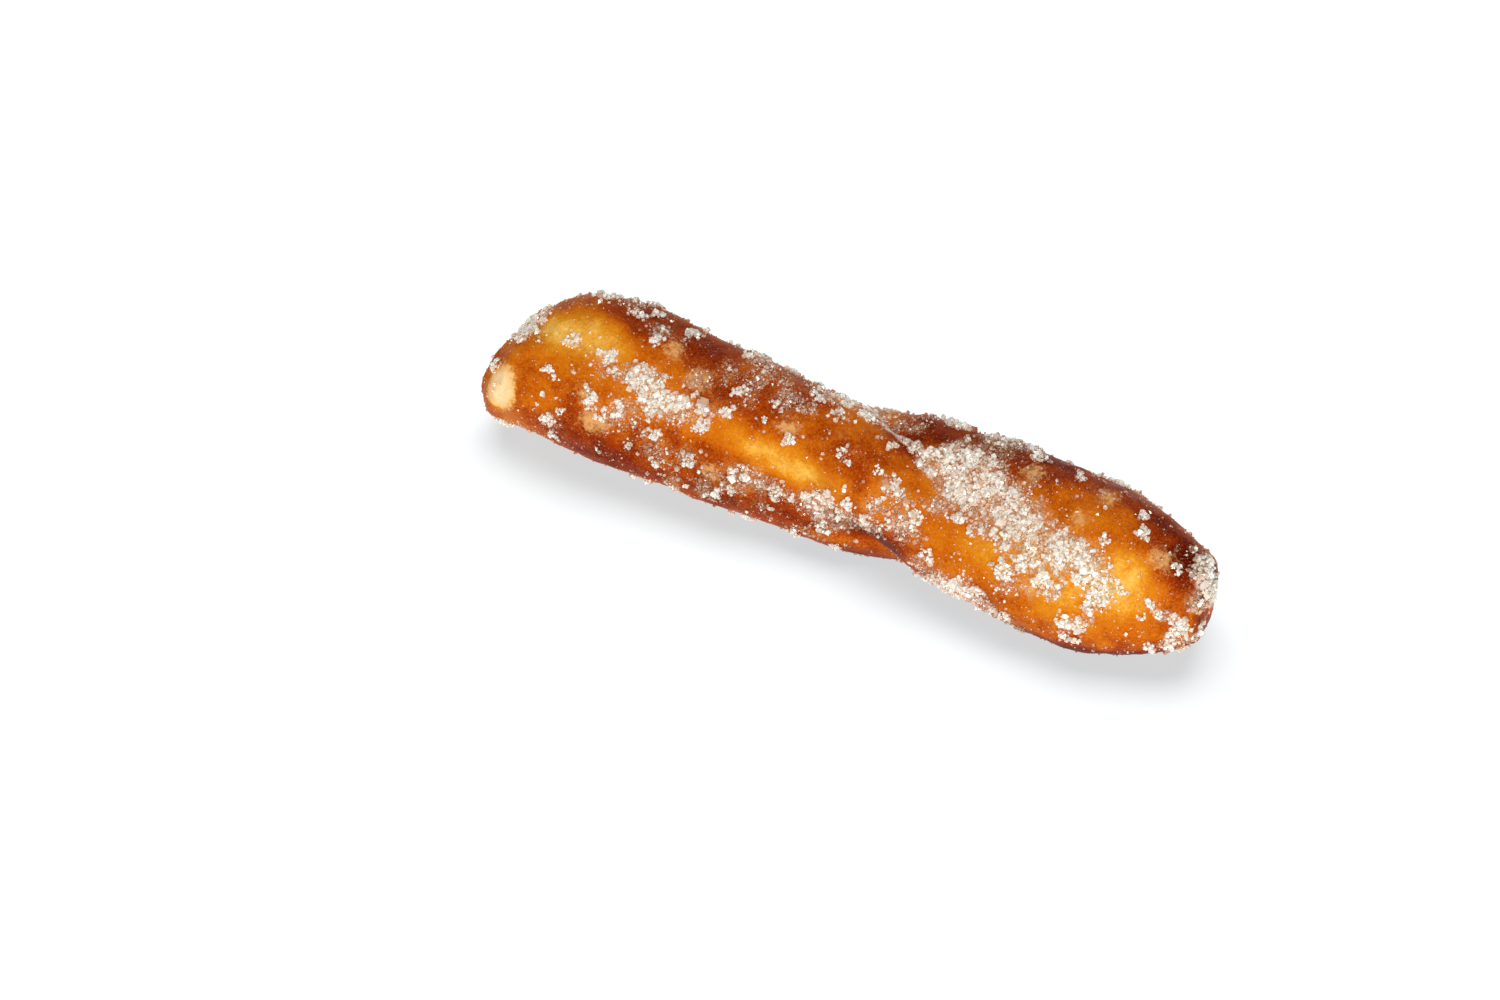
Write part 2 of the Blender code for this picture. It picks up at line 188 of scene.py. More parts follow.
# ---------------------------------------------------------------- sugar
PLAIN_SUGAR = 0.10         # amount where there is no patch
GATHER_EDGE = ((2.2, 0.5, 44), (0.9, 0.35, 45))  # size, height, seed
GATHER_FROM = 0.75         # amount from which sugar lies packed
GATHER_STEEPNESS = 1.6
SUGAR_PATCHES = (
    (-60, 84, 3.5, 5.5, 0.85), (-49.5, 110, 2.2, 1.8, 0.7), (-43, 112, 4.5, 3.2, 0.85),
    (-36, 119, 6.5, 3.8, 1.12), (-37, 144, 4.5, 3.5, 0.7), (-29, 131, 5.0, 3.4, 0.9),
    (-22, 124, 4.0, 3.2, 0.5), (-48, 172, 3.6, 2.6, 0.5), (-29, 172, 8.0, 4.5, 0.6),
    (-19, 176, 9.0, 5.0, 0.5), (-15, 166, 3.5, 3.0, 0.8), (-4, 173, 7.5, 4.6, 1.0),
    (0, 187, 5.0, 3.5, 0.85), (-9, 194, 14.0, 3.4, 0.4), (-4, 204, 6.0, 3.0, 0.5),
    (-46, 62, 7.0, 3.4, 0.5), (-32, 72, 6.0, 3.5, 0.45), (-27, 98, 7.0, 5.0, 0.28),
    (-13, 76, 11.0, 4.5, 0.38), (-18, 105, 3.0, 2.5, 0.55), (-12, 93, 3.5, 3.0, 0.7),
    (-4, 66, 6.0, 3.4, 0.9), (-2, 88, 5.0, 3.5, 0.5), (2.5, 114, 2.5, 3.0, 0.65),
    (12.5, 132, 4.0, 4.0, 0.62), (14, 156, 4.5, 4.0, 0.75), (7, 172, 5.0, 2.6, 0.7),
    (5, 64, 16.0, 3.2, 0.55), (23, 62, 7.0, 3.4, 0.85), (10, 84, 6.0, 2.8, 0.85),
    (17, 92, 8.0, 5.5, 1.2), (24, 107, 8.0, 6.0, 1.2), (32, 122, 8.0, 4.8, 1.25),
    (42, 130, 7.5, 4.8, 1.35), (46, 140, 4.0, 4.5, 1.2), (30, 98, 6.0, 3.5, 0.45),
    (33, 158, 5.0, 3.5, 0.55), (34, 141, 3.5, 5.0, 0.8), (39, 154, 3.5, 3.0, 0.6),
    (41, 90, 7.0, 4.0, 0.4), (46, 152, 7.0, 4.5, 0.45), (44, 180, 5.0, 3.5, 0.5),
    (54, 176, 7.0, 5.0, 0.35), (56, 147, 2.2, 2.2, 0.8), (60, 192, 3.0, 6.0, 0.7),
    (60.8, 92, 2.0, 6.0, 1.1), (24, 196, 8.0, 4.0, 0.95), (31, 205, 8.0, 3.0, 0.6),
    (-50, 318, 9.0, 7.0, 0.7), (-28, 345, 12.0, 6.0, 0.8), (-6, 20, 11.0, 7.0, 0.9),
    (18, 345, 12.0, 7.0, 0.7), (38, 20, 12.0, 6.0, 0.9), (54, 330, 7.0, 7.0, 0.6),
    (-20, 250, 8.0, 5.0, 0.5), (-54, 20, 6.0, 5.0, 0.6), (-10, 50, 60.0, 3.5, 0.42),
    (-25, 166, 3.0, 2.6, 0.9), (-12, 164, 3.0, 3.5, 0.8), (-24, 86, 2.5, 2.5, 0.5),
    (-37, 82, 3.5, 2.6, 0.6), (-11.5, 99, 3.0, 3.0, 0.7), (7.5, 124, 2.2, 2.2, 0.5),
    (7.5, 150, 3.5, 3.0, 0.75), (27, 130, 4.0, 3.5, 0.95), (29.5, 101, 3.5, 3.0, 0.9),
    (61.5, 134, 1.8, 3.5, 1.0), (-10, 170, 8.0, 4.0, 0.8), (62, 90, 2.5, 5.0, 1.1),
    (48, 146, 3.0, 3.5, 1.2), (-20, 62, 3.0, 2.5, 0.8), (-20, 85, 2.5, 6.0, 0.4),
    (-14, 170, 3.5, 3.0, 0.6), (1.2, 187, 2.5, 3.5, 0.8), (-59.5, 108, 2.5, 3.5, 0.9),
    (6, 110, 3.0, 2.5, 0.5), (19, 112, 3.5, 4.0, 1.05), (35, 130, 3.5, 3.0, 1.1),
    (50, 141, 2.5, 3.0, 0.7), (47, 176, 3.0, 3.0, 0.45), (42, 84, 3.0, 2.2, 0.45),
    (-28, 103, 4.0, 2.5, 0.5), (-43, 126, 2.6, 3.0, 0.45), (-42, 148, 2.6, 2.4, 0.75),
    (9.5, 127, 2.5, 2.5, 0.8), (25, 126, 3.0, 3.0, 0.7), (31, 144, 2.5, 2.5, 0.9),
    (37.5, 149, 2.5, 2.5, 0.8), (41, 161, 2.5, 2.2, 0.9), (57.8, 158, 2.2, 2.5, 1.0),
    (-37, 79, 2.5, 2.5, 0.35), (-22.5, 93, 2.2, 2.2, 0.6), (25, 73, 3.0, 2.2, 0.7),
    (18, 186, 3.0, 3.0, 0.7), (1, 77, 3.0, 2.4, 1.1), (31, 91, 3.0, 2.5, 0.85),
    (-29, 109, 2.5, 2.2, 0.7), (-17.7, 108, 2.2, 3.0, 0.6), (-17.7, 88, 2.2, 3.0, 0.6),
    (9, 66, 3.0, 2.2, 0.9), (-21, 192, 3.0, 2.5, 0.7), (-27, 195, 2.5, 2.2, 0.7),
    (-11, 190, 3.0, 2.5, 0.7), (-7.7, 96, 2.2, 2.5, 0.6), (-38, 148, 3.5, 3.0, 0.75),
    (-22, 183, 4.0, 3.0, 0.6), (-20.5, 181, 2.2, 2.5, 0.7), (18.3, 131, 2.2, 2.2, 0.8),
    (10.5, 150, 2.2, 2.2, 0.6), (33.3, 167, 2.5, 2.2, 0.7), (-26.2, 187, 3.0, 2.4, 0.7),
    (-21.1, 176, 2.5, 2.2, 0.6), (-14.7, 178, 3.0, 2.5, 0.7), (26.1, 121, 2.5, 2.5, 0.8),
    (0.3, 106, 3.0, 2.4, 0.75), (-42.5, 127, 2.4, 2.4, 0.6), (-34.3, 135, 2.5, 2.2, 0.8),
    (2.9, 191, 3.0, 2.2, 0.7), (40.1, 135, 2.5, 2.2, 0.9), (-37.4, 123, 3.0, 3.0, 0.5),
    (-6.3, 74, 3.0, 2.2, 0.8), (62.6, 194, 1.5, 3.0, 0.8), (-60.0, 164, 1.6, 2.2, 0.6),
    (-37.5, 143, 3.0, 2.6, 0.9), (1.7, 118, 2.4, 2.4, 0.6),
)
BARE_PATCHES = (           # the same, but with less sugar
    (-45, 95, 5.0, 4.0, 0.5), (-25, 160, 4.0, 3.0, 0.2), (-9, 160, 4.0, 3.5, 0.35),
    (-8, 191, 5.0, 2.5, 0.4), (34, 88, 5.0, 3.5, 0.4), (44, 112, 4.0, 3.0, 0.6),
    (57, 112, 2.8, 9.0, 0.8), (52, 193, 5.0, 3.5, 0.4), (-8, 118, 9.0, 4.0, 0.3),
    (-12, 143, 9.0, 3.0, 0.4), (9, 112, 4.5, 3.0, 0.5), (-31, 60, 4.0, 3.0, 0.5),
    (-38, 104, 6.0, 3.0, 0.4), (2, 82, 3.0, 2.5, 0.6), (31, 152, 3.0, 2.0, 0.3),
    (41.5, 172, 3.0, 2.0, 0.4), (13, 62, 6.0, 2.6, 0.3), (11, 194, 4.0, 3.5, 0.8),
    (-42, 140, 3.0, 3.0, 0.4), (-34, 186, 3.0, 2.5, 0.4), (4, 146, 3.0, 2.5, 0.5),
    (-6, 182, 3.0, 2.5, 0.3), (8, 90, 3.0, 2.8, 0.6), (12, 74, 3.5, 2.5, 0.5), (2, 102, 2.5, 2.5, 0.5),
    (-5, 159, 3.5, 2.5, 0.3), (-25, 183, 5.0, 2.5, 0.3), (-28, 87, 2.5, 2.5, 0.3),
    (-31, 104, 2.5, 3.0, 0.35), (-42.5, 167, 3.0, 2.5, 0.5), (44, 151, 2.2, 2.0, 0.4),
    (55, 172, 2.5, 2.5, 0.4), (28.5, 86, 3.0, 2.5, 0.3), (-57.0, 152, 3.0, 4.0, 0.6),
    (-55.0, 176, 4.0, 3.0, 0.4), (53, 122, 3.5, 3.0, 0.4), (13.5, 122, 2.2, 2.2, 0.4),
    (-36.7, 130, 2.0, 2.0, 0.3), (39, 112, 4.0, 3.0, 0.2), (49, 126, 2.5, 2.5, 0.35),
)
# Heaps that show one by one: place, angle, radius
MARKED_HEAPS = (
    (-28.5, 126, 1.6), (-24.3, 126, 1.7), (-23.9, 140, 1.6), (-20.5, 120, 1.2), (-31.7, 132, 2.2),
    (-49.2, 172, 1.4), (-47.3, 161, 0.8), (-32.3, 71, 1.8), (-60.6, 85, 2.3), (-58.8, 78, 1.6),
    (-61.8, 87, 2.8), (-59.8, 106, 2.0), (7.2, 124, 0.8), (-49.5, 110, 1.3), (49.5, 85, 1.0),
    (31.5, 159, 1.6), (34.7, 151, 1.4), (-14.5, 116, 0.9), (14.0, 48, 2.4), (-36.0, 120, 2.7),
    (60.6, 98, 1.9), (61.0, 86, 2.0), (60.4, 172, 1.8), (59.0, 190, 1.2), (0.4, 119, 1.0),
    (0.5, 76, 1.6), (-6, 72, 1.3), (-58.6, 122, 1.0), (-51.5, 137, 0.9), (-49.8, 141, 0.8),
    (-50.3, 114, 0.9), (-42.6, 148, 1.2), (-40.2, 154, 0.9), (-39.3, 68, 1.0), (57.9, 86, 1.0),
    (43.8, 147, 1.2), (-42.9, 73, 1.2), (10.5, 86, 1.4), (13.0, 90, 1.4),
)
HEAPS = 640
EVEN_HEAPS = 0.04          # how much of them lies evenly
HEAP_RADIUS = (0.45, 1.5)
HEAP_HEIGHT = 0.55
HEAP_RAGGEDNESS = 0.8
HEAP_EDGE_SIZE = 0.8
HEAP_EDGE_SEEDS = (41, 42, 43)
HEAP_GATHERING = 1.5       # how strongly heaps keep to sugary places
HEAP_SMALLNESS = 2.5       # how much commoner small heaps are
# Smooth sugar glaze in a crease and on the right end: place, angle, half length, half width
GLAZES = ((3.0, 71, 2.0, 0.55), (5.5, 76, 2.0, 0.55), (8.0, 81, 2.0, 0.55), (62.3, 108, 1.5, 3.0))
GLAZE_HEIGHT = 0.3
GRAIN_TRIES = 300000
HEAPED_GRAINS = 16500      # at most
GRAIN_CHANCE = 0.26        # that a grain stays where it is tried
GRAIN_CHANCE_RISE = 2.2    # how fast that chance comes up inside a heap
GRAIN_SIZE = 0.60          # middle size across
GRAIN_SPREAD = 0.3
GRAIN_HALF_HEIGHT = 0.75   # for a half width of 1
GRAIN_THINNING = (0.72, 1.0)
CORNER_SHIFT = 0.2
GRAIN_LIFT = 0.2           # share of its size by which a grain stands off the crust
LOOSE_GRAINS = 6500
LOOSE_SHARE = 0.85         # of a heaped grain's size
DUST_GRAINS = 42000
DUST_SIZE = 0.26
DUST_SPREAD = 0.3
SPECK_HALF_WIDTH = 0.8
CLEAR_OF_FLOOR = 0.8       # sugar sticks only above this height
LOWEST_CORNER = 0.02
# Loose sugar: its amount is a share of the patches' amount, made uneven, less a start, between limits
THIN_SHARE = 1.1
THIN_UNEVENNESS = 0.6
THIN_NOISE = ((2.5, 0.35, 46), (1.0, 0.25, 47))  # size, height, seed
THIN_FROM = 0.33
THIN_LIMITS = (0.010, 0.7)
# How white the grains look, from 0 for clear to 1 for white
HEAPED_TINT = 0.2
LOOSE_TINT = 0.1
TINT_SPREAD = 0.5
TINT_IN_HEAPS = 0.8
DARK_TINT = 0.2            # how much clearer the sugar looks on the darkest crust, also where that darkness is painted shade
DARK_FROM = 0.55
DARK_FADE = 0.3
FACET_GLINT_SPREAD = 0.9         # how much the faces of one grain differ at random in how clear they look: painted glints for refracted and reflected light
PROUD_OF_BOX = 0.15        # how far past the solid's box grains may lie

# ---------------------------------------------------------------- camera and studio
CAMERA_AZIMUTH = 28.0
CAMERA_ELEVATION = 45.0
CAMERA_DISTANCE = 0.676
LENS = 100.0
SENSOR = 36.0
PHOTO_SIZE = (1500, 1000)
STICK_PIXEL = (855, 475)   # where the middle of the stick shows
STICK_LIGHTS = (           # name, azimuth, elevation, distance, size, watts
    ("key", 22, 44, 1.6, 0.6, 15.2),
    ("front", 38, 14, 1.6, 0.8, 8.5),
    ("top", 208, 75, 1.6, 0.8, 3.5),
    ("back", 200, 28, 1.6, 0.8, 4.0),
    ("side", 105, 25, 1.6, 0.6, 2.5),
    ("left", 300, 40, 1.6, 0.8, 3.0),
)
FLOOR_LIGHT = ("over", 208, 86, 1.4, 1.1, 47.0)
WORLD_STRENGTH = 0.12
FLOOR_SIDE = 6.0           # metres
FLOOR_COLOUR = (0.2, 0.2, 0.2)
FLOOR_GLOW = (0.93, 0.98, 1.0)
FLOOR_GLOW_STRENGTH = 0.65
FLOOR_ROUGHNESS = 0.9
FLOOR_SPECULAR = 0.1


def smooth_curve(x, stations, values):
    """Read a smooth curve that passes through a few values along the stick."""
    at = np.asarray(stations, float)
    value = np.asarray(values, float)
    slope = np.gradient(value, at)
    i = np.clip(np.searchsorted(at, x) - 1, 0, len(at) - 2)
    span = at[i + 1] - at[i]
    t = np.clip((x - at[i]) / span, 0, 1)
    start = (1 + 2 * t) * (1 - t) ** 2 * value[i] + t * (1 - t) ** 2 * span * slope[i]
    end = t * t * (3 - 2 * t) * value[i + 1] - t * t * (1 - t) * span * slope[i + 1]
    return start + end


def ease(t):
    """Rise smoothly from 0 to 1."""
    t = np.clip(t, 0, 1)
    return t * t * (3 - 2 * t)


def groove_angle(x):
    """Give the first groove's angle about the stick."""
    waist = ease((x - WAIST_AT + WAIST_HALF_LENGTH) / (2 * WAIST_HALF_LENGTH))
    start = TWIST_MIDDLE - TWIST_PER_HALF
    return start + TWIST_PER_HALF * (x + TWIST_HALF_LENGTH) / TWIST_HALF_LENGTH + WAIST_TURN * waist


def strand_section(beta, x):
    """Give the radius of three overlapping strands, at an angle from the first groove."""
    total = 0
    for strand in STRANDS:
        turn = np.radians(beta - strand)
        side = STRAND_OFFSET * np.sin(turn)
        radius = STRAND_OFFSET * np.cos(turn) + np.sqrt(STRAND_RADIUS ** 2 - side ** 2)
        total = total + np.exp(CREASE_SHARPNESS * radius)
    away = ease((np.abs(x - WAIST_AT) - WAIST_HALF_LENGTH) / WAIST_HALF_LENGTH)
    valley = ((1 + np.cos(np.radians(len(STRANDS) * beta))) / 2) ** 2
    return np.log(total) / CREASE_SHARPNESS + VALLEY_FILL * away * valley


def one_sided(angle, near):
    """Rise from 0 at one angle about the stick to 1 opposite."""
    return (1 - np.cos(np.radians(angle - near))) / 2


def taper(reach, length, rim_share):
    """Give a quarter ellipse's radius at a distance inside the rim that ends it."""
    furthest = np.sqrt(1 - rim_share ** 2)
    along = np.clip(furthest - reach / length, 0, furthest)
    return np.sqrt(1 - along ** 2)


def stick_points(share, turn):
    """Place points of the solid's surface, by the share of its length and the turn from the first groove."""
    left_cap = np.clip(share / CAP_SHARE, 0, 1)
    right_cap = np.clip((1 - share) / CAP_SHARE, 0, 1)
    along = np.clip((share - CAP_SHARE) / (1 - 2 * CAP_SHARE), 0, 1)
    along = (1 - RING_CROWDING) * along + RING_CROWDING * ease(along)
    cap = left_cap * right_cap
    inward = np.sin(cap * math.pi / 2) ** DOME_POWER
    outward = np.maximum(np.cos(cap * math.pi / 2), 0) ** DOME_POWER

    x = LEFT_RIM + (RIGHT_RIM - LEFT_RIM) * along
    angle = turn + groove_angle(x)
    radius = smooth_curve(x, GIRTH_AT, GIRTH) * strand_section(turn, x)
    off_groove = (turn + 180) % 360 - 180
    notch = NOTCH_DEPTH * np.exp(-(off_groove / NOTCH_WIDTH) ** 2)
    radius = radius - notch * np.clip(1 - (x - LEFT_RIM) / NOTCH_LENGTH, 0, 1)

    sloping = one_sided(angle, LEFT_BLUNT_ANGLE)
    rounding = LEFT_ROUNDING[0] + (LEFT_ROUNDING[1] - LEFT_ROUNDING[0]) * sloping
    rim_share = LEFT_RIM_SHARE[0] + (LEFT_RIM_SHARE[1] - LEFT_RIM_SHARE[0]) * sloping
    radius = radius * taper(x - LEFT_RIM, rounding, rim_share)
    radius = radius * taper(RIGHT_RIM - x, RIGHT_ROUNDING, RIGHT_RIM_SHARE) * inward

    left_fade = np.clip(1 - (x - LEFT_RIM) / LEFT_SLOPE_FADE, 0, 1) ** 2
    right_fade = np.clip(1 - (RIGHT_RIM - x) / RIGHT_SLOPE_FADE, 0, 1) ** 2
    leaning = one_sided(angle, RIGHT_LONG_ANGLE)
    place = x + LEFT_SLOPE * (0.5 + (sloping - 0.5) * inward) * left_fade
    place = place - RIGHT_SLOPE * (0.5 + (leaning - 0.5) * inward) * right_fade
    place = place + np.where(share < 0.5, -LEFT_DOME, RIGHT_DOME) * outward

    side = radius * np.cos(np.radians(angle)) + smooth_curve(x, BEND_AT, BEND_SIDE)
    rise = radius * np.sin(np.radians(angle)) + smooth_curve(x, BEND_AT, BEND_RISE)
    points = np.stack([place, side, rise], axis=-1)

    tear = np.asarray(TEAR_NORMAL) / np.linalg.norm(TEAR_NORMAL)
    torn = np.maximum((points - np.asarray(TEAR_POINT)) @ tear, 0)
    points = points - (1 - TEAR_DOME) * torn[..., None] * tear
    points[..., 2] = np.maximum(points[..., 2], FLOOR) - FLOOR
    points[..., :2] -= BOX_MIDDLE
    return points


def soft_noise(points, size, seed):
    """Give smooth random values from -1 to 1 at points, with features of a size."""
    cells = 48
    lattice = np.random.default_rng(seed).uniform(-1, 1, (cells,) * 3)
    at = points / size
    cell = np.floor(at).astype(int)
    t = ease(at - cell)
    total = 0
    for corner in itertools.product((0, 1), repeat=3):
        weight = np.prod(np.where(np.array(corner) == 1, t, 1 - t), axis=-1)
        index = (cell + np.array(corner)) % cells
        total = total + weight * lattice[index[..., 0], index[..., 1], index[..., 2]]
    return total


def layered_noise(points, layers):
    """Add up smooth noise by each layer's size, height and seed."""
    return sum(height * soft_noise(points, size, seed) for size, height, seed in layers)


def unit(vectors):
    """Scale vectors to length 1."""
    return vectors / np.maximum(np.linalg.norm(vectors, axis=-1, keepdims=True), 1e-9)


class Surface:
    """The stick's surface as a grid of points, with what is known at each."""

    def __init__(self):
        share = np.linspace(0, 1, RINGS + 1)[:, None] * np.ones((1, SIDES))
        turn = np.linspace(0, 360, SIDES, endpoint=False)[None, :] * np.ones((RINGS + 1, 1))
        self.turn = turn
        self.points = stick_points(share, turn)
        self.station = self.points[..., 0] + BOX_MIDDLE[0]
        side = self.points[..., 1] + BOX_MIDDLE[1]
        rise = self.points[..., 2] + FLOOR
        self.angle = np.degrees(np.arctan2(rise, side)) % 360
        self.share = share
        self.find_normals()
        self.add_relief()
        self.find_normals()
        self.find_bake_and_shade()

    def nearness(self, patch, soft=False):
        """Give 1 in the middle of a patch, falling to 0 outside it, steeply or softly."""
        station, angle, half_length, half_width = patch[:4]
        around = (self.angle - angle + 180) % 360 - 180
        across = np.radians(around) * MIDDLE_RADIUS / half_width
        distance = ((self.station - station) / half_length) ** 2 + across ** 2
        return np.exp(-distance) if soft else np.exp(-distance ** 2)

    def find_normals(self):
        """Find the outward direction at each point."""
        along = np.gradient(self.points, axis=0)
        around = np.roll(self.points, -1, axis=1) - np.roll(self.points, 1, axis=1)
        normals = unit(np.cross(around, along))
        middle = RINGS // 2
        outward = self.points[middle] - self.points[middle].mean(axis=0)
        if np.sum(normals[middle] * outward) < 0:
            normals = -normals
        normals[0] = (-1, 0, 0)
        normals[-1] = (1, 0, 0)
        self.normals = normals

    def add_relief(self):
        """Raise lumps, fine lines and blisters, and cut the creases at the waist."""
        height = layered_noise(self.points, LUMPS)
        valley = (1 + np.cos(np.radians(len(STRANDS) * self.turn))) / 2
        lines = np.stack([self.station / CREASE_LINE_LENGTH, self.turn / CREASE_LINE_WIDTH, 0 * self.turn],
                         axis=-1)
        height = height + CREASE_LINES * valley * soft_noise(lines, 1.0, CREASE_LINE_SEED)
        step = 360 / len(STRANDS)
        off_groove = (self.turn + step / 2) % step - step / 2
        near_waist = 1 - ease((np.abs(self.station - WAIST_AT) - WAIST_HALF_LENGTH) / WAIST_HALF_LENGTH)
        height = height - CREASE_CUT * near_waist * np.exp(-(off_groove / CREASE_WIDTH) ** 2)
        crumb = BLISTER_CRUMB * soft_noise(self.points, BLISTER_CRUMB_SIZE, BLISTER_CRUMB_SEED)
        for station, angle, radius, tall in BLISTERS:
            blister = self.nearness((station, angle, radius, radius), soft=True)
            height = height + tall * blister * (BLISTER_FULLNESS + crumb)
        on_floor = self.points[..., 2] < RESTING_BAND
        height = np.where(on_floor, np.minimum(height, 0), height)
        self.points = self.points + self.normals * height[..., None]
        self.points[..., 2] = np.maximum(self.points[..., 2], 0)

    def find_bake_and_shade(self):
        """Find how brown the crust is: browner on the strands, golden in the grooves, and by patches, some of
        them painted shade or light.
        """
        crest = (1 + np.cos(np.radians(len(STRANDS) * (self.turn - STRANDS[0])))) / 2
        bake = BAKE_MIDDLE + BAKE_CREST * (2 * crest - 1)
        for patch in BAKE_AND_SHADE_PATCHES:
            bake = bake + patch[4] * self.nearness(patch)
        rim = np.exp(-((self.share - RIM_SHARE) / RIM_WIDTH) ** 2)
        bake = bake + RIM_BAKE * rim
        for size, strength, seed in BAKE_MOTTLE:
            bake = bake + strength * soft_noise(self.points, size, seed)
        self.bake = bake

    def sugar_amount(self):
        """Find how much sugar there is at each point, by the patches."""
        amount = np.full(self.station.shape, PLAIN_SUGAR)
        for patch in SUGAR_PATCHES:
            amount = np.maximum(amount, patch[4] * self.nearness(patch, soft=True))
        for station, angle, radius, _ in BLISTERS:
            nearness = self.nearness((station, angle, radius, radius), soft=True)
            amount = np.maximum(amount, BLISTER_SUGAR * nearness)
        for patch in BARE_PATCHES:
            amount = amount - patch[4] * self.nearness(patch, soft=True)
        return np.maximum(amount, 0)

    def quad_areas(self):
        """Give the area of the quad that starts at each point."""
        points = self.points
        right = np.roll(points, -1, axis=1)
        cross = np.cross(points[1:] - points[:-1], right[:-1] - points[:-1])
        return np.linalg.norm(cross, axis=-1)

    def draw_places(self, count, weight, random, *grids):
        """Draw points on the surface by a weight at each grid point, and read other grids there."""
        chance = (self.quad_areas() * weight[:-1]).ravel()
        chosen = random.choice(chance.size, size=count, p=chance / chance.sum())
        i, j = np.divmod(chosen, SIDES)
        k = (j + 1) % SIDES
        a = random.random(count)[:, None]
        b = random.random(count)[:, None]

        def read(grid):
            top = grid[i, j] * (1 - b) + grid[i, k] * b
            return top * (1 - a) + (grid[i + 1, j] * (1 - b) + grid[i + 1, k] * b) * a

        return [read(self.points), unit(read(self.normals))] + [read(grid[..., None])[:, 0] for grid in grids]


def gathered(points, amount):
    """Give how thickly sugar covers each point, by the amount there, with ragged edges."""
    ragged = layered_noise(points, GATHER_EDGE)
    return np.clip((amount + ragged - GATHER_FROM) * GATHER_STEEPNESS, 0, 1)


def find_heaps(surface, random):
    """Choose the middles and radii of the heaps that sugar gathers in."""
    heaps = []
    for station, angle, radius in MARKED_HEAPS:
        around = (surface.angle - angle + 180) % 360 - 180
        far = (surface.station - station) ** 2 + (np.radians(around) * MIDDLE_RADIUS) ** 2
        where = np.unravel_index(np.argmin(far), far.shape)
        heaps.append((surface.points[where], radius))
    weight = surface.sugar_amount() ** HEAP_GATHERING + EVEN_HEAPS
    points, _ = surface.draw_places(HEAPS, weight, random)
    for point in points:
        size = random.random() ** HEAP_SMALLNESS
        heaps.append((point, HEAP_RADIUS[0] + (HEAP_RADIUS[1] - HEAP_RADIUS[0]) * size))
    return heaps


def heap_depth(points, heaps):
    """Give how deep in a heap each point lies, from 0 outside to 1 at a heap's middle."""
    ragged = np.stack([soft_noise(points, HEAP_EDGE_SIZE, seed) for seed in HEAP_EDGE_SEEDS], axis=-1)
    moved = points + HEAP_RAGGEDNESS * ragged
    depth = np.zeros(points.shape[:-1])
    for middle, radius in heaps:
        apart = np.sum((moved - middle) ** 2, axis=-1) / radius ** 2
        depth = np.maximum(depth, 1 - apart)
    return depth


def mesh_object(name, points, faces, attributes=(), smooth=True):
    """Make a mesh object from points in millimetres."""
    mesh = bpy.data.meshes.new(name)
    mesh.from_pydata((points * MM).tolist(), [], faces)
    for label, domain, values in attributes:
        layer = mesh.attributes.new(label, "FLOAT", domain)
        layer.data.foreach_set("value", np.asarray(values, np.float32).ravel())
    mesh.polygons.foreach_set("use_smooth", [smooth] * len(mesh.polygons))
    mesh.update()
    made = bpy.data.objects.new(name, mesh)
    bpy.context.scene.collection.objects.link(made)
    return made


def make_crust(surface, heaps):
    """Build the crust's fine mesh, with its baking and painted shade, dough, blisters and sugar at each
    point.
    """
    amount = surface.sugar_amount()
    dough = np.zeros(amount.shape)
    for middle, reach in DOUGH_SPOTS:
        far = np.linalg.norm((surface.points - np.array(middle)) / np.array(reach), axis=-1)
        dough = np.maximum(dough, 1 - ease((far - DOUGH_CORE) / DOUGH_FADE))
    blister = np.zeros(amount.shape)
    for station, angle, radius, _ in BLISTERS:
        blister = np.maximum(blister, surface.nearness((station, angle, radius, radius), soft=True))
    covered = gathered(surface.points, amount)
    heaped = ease(heap_depth(surface.points, heaps) * BED_STEEPNESS) * (amount > BED_LEAST_SUGAR)
    bed = np.maximum(covered, heaped)
    glaze = np.zeros(amount.shape)
    for patch in GLAZES:
        glaze = np.maximum(glaze, surface.nearness(patch))
    raised = BED_HEIGHT * ease(bed) + GLAZE_HEIGHT * glaze
    points = surface.points + surface.normals * raised[..., None]
    points[..., 2] = np.maximum(points[..., 2], 0)

    ring_starts = [1 + (ring - 1) * SIDES for ring in range(1, RINGS)]
    last = 1 + (RINGS - 1) * SIDES
    faces = []
    for side in range(SIDES):
        other = (side + 1) % SIDES
        faces.append((0, ring_starts[0] + other, ring_starts[0] + side))
        faces.append((last, ring_starts[-1] + side, ring_starts[-1] + other))
    for start, end in zip(ring_starts[:-1], ring_starts[1:]):
        for side in range(SIDES):
            other = (side + 1) % SIDES
            faces.append((start + side, start + other, end + other, end + side))

    def flat(grid):
        """List a grid's values, with one for each end."""
        return np.concatenate([grid[0, :1], grid[1:-1].reshape((-1,) + grid.shape[2:]), grid[-1, :1]])

    grids = {"bake": surface.bake, "dough": dough, "blister": blister, "frost": amount, "bed": bed,
             "glaze": glaze}
    attributes = [(label, "POINT", flat(grid)) for label, grid in grids.items()]
    return mesh_object("crust", flat(points), faces, attributes)


# A grain has ten faces: two squares, one turned half a step, and eight triangles between them
GRAIN_TURNS = np.radians(np.arange(8) * 45.0)
GRAIN_LEVELS = np.tile((GRAIN_HALF_HEIGHT, -GRAIN_HALF_HEIGHT), 4)
GRAIN_CORNERS = np.stack([np.cos(GRAIN_TURNS), np.sin(GRAIN_TURNS), GRAIN_LEVELS], axis=-1)
GRAIN_FACES = [(0, 2, 4, 6), (7, 5, 3, 1)]
for corner in range(8):
    step = ((corner + 2) % 8, (corner + 1) % 8)
    GRAIN_FACES.append((corner, *step[::-1]) if corner % 2 == 0 else (corner, *step))
